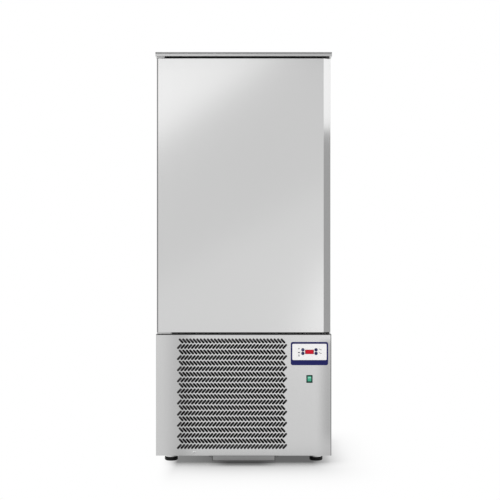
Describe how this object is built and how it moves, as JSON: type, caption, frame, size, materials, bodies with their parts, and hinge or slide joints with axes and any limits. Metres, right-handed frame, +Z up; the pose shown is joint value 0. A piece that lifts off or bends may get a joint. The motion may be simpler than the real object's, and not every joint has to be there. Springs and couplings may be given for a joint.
{
  "type": "blast chiller",
  "caption": "Upright blast chiller: insulated tray cabinet with a full-height hinged door above a machine compartment with a pierced front, keypad, rocker, drip tray and levelling feet.",
  "frame": {"origin": "on the floor under the middle of the cabinet", "axes": "+X to the right as seen from the front, front towards -Y, +Z up"},
  "size_m": [0.794, 0.8, 1.85],
  "materials": {
    "outer_casing": "satin",
    "worktop": "satin",
    "worktop_core": "matte",
    "cabinet_insulation": "matte",
    "inner_liner": "satin",
    "liner_coves": "satin",
    "door_frame": "satin",
    "box_underside": "satin",
    "front_rail": "satin",
    "base_pan": "satin",
    "drain_pipe": "matte",
    "rear_grille": "satin",
    "cable_glands": "matte",
    "hinge_brackets": "satin",
    "hinge_pins": "satin",
    "front_panel": "satin",
    "panel_screw": "satin",
    "filter_frame": "satin",
    "air_filter": "matte",
    "control_bezel": "gloss",
    "control_face": "satin",
    "display_window": "gloss",
    "control_housing": "matte",
    "control_board": "satin",
    "key_upper_left": "gloss",
    "key_lower_left": "gloss",
    "key_upper_right": "gloss",
    "key_lower_right": "gloss",
    "switch_rim": "gloss",
    "switch_body": "matte",
    "switch_rocker": "gloss",
    "foot_front_left": "satin",
    "foot_front_right": "satin",
    "foot_rear_left": "satin",
    "foot_rear_right": "satin",
    "foot_sleeves": "satin",
    "drip_tray": "satin",
    "rack_left": "satin",
    "rack_right": "satin",
    "evaporator_coil": "satin",
    "fan_panel": "satin",
    "fan_guards": "satin",
    "fan_motors": "satin",
    "fan_rotor_1": "matte",
    "fan_rotor_2": "matte",
    "fan_rotor_3": "matte",
    "condenser_coil": "satin",
    "condenser_shroud": "matte",
    "condenser_motor": "satin",
    "condenser_rotor": "matte",
    "compressor": "satin",
    "refrigerant_pipes": "satin",
    "electrical_box": "satin",
    "door_skin": "satin",
    "door_liner": "satin",
    "door_foam": "matte",
    "door_caps": "matte",
    "door_grip": "satin",
    "door_gasket": "matte",
    "hinge_bushes": "matte"
  },
  "bodies": {
    "cabinet": {"outer_casing": "outer_casing", "worktop": "worktop", "worktop_core": "worktop_core", "cabinet_insulation": "cabinet_insulation", "inner_liner": "inner_liner", "liner_coves": "liner_coves", "door_frame": "door_frame", "box_underside": "box_underside", "front_rail": "front_rail", "base_pan": "base_pan", "drain_pipe": "drain_pipe", "rear_grille": "rear_grille", "cable_glands": "cable_glands", "hinge_brackets": "hinge_brackets", "hinge_pins": "hinge_pins", "front_panel": "front_panel", "panel_screw": "panel_screw", "filter_frame": "filter_frame", "air_filter": "air_filter", "control_bezel": "control_bezel", "control_face": "control_face", "display_window": "display_window", "control_housing": "control_housing", "control_board": "control_board", "switch_rim": "switch_rim", "switch_body": "switch_body", "foot_sleeves": "foot_sleeves", "rack_left": "rack_left", "rack_right": "rack_right", "evaporator_coil": "evaporator_coil", "fan_panel": "fan_panel", "fan_guards": "fan_guards", "fan_motors": "fan_motors", "condenser_coil": "condenser_coil", "condenser_shroud": "condenser_shroud", "condenser_motor": "condenser_motor", "compressor": "compressor", "refrigerant_pipes": "refrigerant_pipes", "electrical_box": "electrical_box"},
    "door": {"door_skin": "door_skin", "door_liner": "door_liner", "door_foam": "door_foam", "door_caps": "door_caps", "door_grip": "door_grip", "door_gasket": "door_gasket", "hinge_bushes": "hinge_bushes"},
    "drip_tray": {"drip_tray": "drip_tray"},
    "rocker": {"switch_rocker": "switch_rocker"},
    "key_upper_left": {"key_upper_left": "key_upper_left"},
    "key_lower_left": {"key_lower_left": "key_lower_left"},
    "key_upper_right": {"key_upper_right": "key_upper_right"},
    "key_lower_right": {"key_lower_right": "key_lower_right"},
    "evaporator_fan_1": {"fan_rotor_1": "fan_rotor_1"},
    "evaporator_fan_2": {"fan_rotor_2": "fan_rotor_2"},
    "evaporator_fan_3": {"fan_rotor_3": "fan_rotor_3"},
    "condenser_fan": {"condenser_rotor": "condenser_rotor"},
    "foot_front_left": {"foot_front_left": "foot_front_left"},
    "foot_front_right": {"foot_front_right": "foot_front_right"},
    "foot_rear_left": {"foot_rear_left": "foot_rear_left"},
    "foot_rear_right": {"foot_rear_right": "foot_rear_right"}
  },
  "joints": [
    {"name": "door_hinge", "type": "hinge", "parent": "cabinet", "child": "door", "pos_m": [-0.376, -0.371, 0.588], "axis": [0, 0, -1], "range_deg": [0, 110]},
    {"name": "drip_tray_slide", "type": "slide", "parent": "cabinet", "child": "drip_tray", "axis": [0, -1, 0], "range_m": [0, 0.26]},
    {"name": "power_rocker", "type": "hinge", "parent": "cabinet", "child": "rocker", "pos_m": [0.296, -0.392, 0.378], "axis": [1, 0, 0], "range_deg": [0, 14]},
    {"name": "key_upper_left_press", "type": "slide", "parent": "cabinet", "child": "key_upper_left", "axis": [0, 1, 0], "range_m": [0, 0.0007], "stiffness_N_per_m": 500},
    {"name": "key_lower_left_press", "type": "slide", "parent": "cabinet", "child": "key_lower_left", "axis": [0, 1, 0], "range_m": [0, 0.0007], "stiffness_N_per_m": 500},
    {"name": "key_upper_right_press", "type": "slide", "parent": "cabinet", "child": "key_upper_right", "axis": [0, 1, 0], "range_m": [0, 0.0007], "stiffness_N_per_m": 500},
    {"name": "key_lower_right_press", "type": "slide", "parent": "cabinet", "child": "key_lower_right", "axis": [0, 1, 0], "range_m": [0, 0.0007], "stiffness_N_per_m": 500},
    {"name": "evaporator_fan_1_spin", "type": "hinge", "parent": "cabinet", "child": "evaporator_fan_1", "pos_m": [0, 0.136, 0.84], "axis": [0, 1, 0], "continuous": true},
    {"name": "evaporator_fan_2_spin", "type": "hinge", "parent": "cabinet", "child": "evaporator_fan_2", "pos_m": [0, 0.136, 1.204], "axis": [0, 1, 0], "continuous": true},
    {"name": "evaporator_fan_3_spin", "type": "hinge", "parent": "cabinet", "child": "evaporator_fan_3", "pos_m": [0, 0.136, 1.568], "axis": [0, 1, 0], "continuous": true},
    {"name": "condenser_fan_spin", "type": "hinge", "parent": "cabinet", "child": "condenser_fan", "pos_m": [-0.095, -0.221, 0.275], "axis": [0, 1, 0], "continuous": true},
    {"name": "foot_front_left_screw", "type": "slide", "parent": "cabinet", "child": "foot_front_left", "axis": [0, 0, -1], "range_m": [0, 0.015]},
    {"name": "foot_front_right_screw", "type": "slide", "parent": "cabinet", "child": "foot_front_right", "axis": [0, 0, -1], "range_m": [0, 0.015]},
    {"name": "foot_rear_left_screw", "type": "slide", "parent": "cabinet", "child": "foot_rear_left", "axis": [0, 0, -1], "range_m": [0, 0.015]},
    {"name": "foot_rear_right_screw", "type": "slide", "parent": "cabinet", "child": "foot_rear_right", "axis": [0, 0, -1], "range_m": [0, 0.015]}
  ]
}
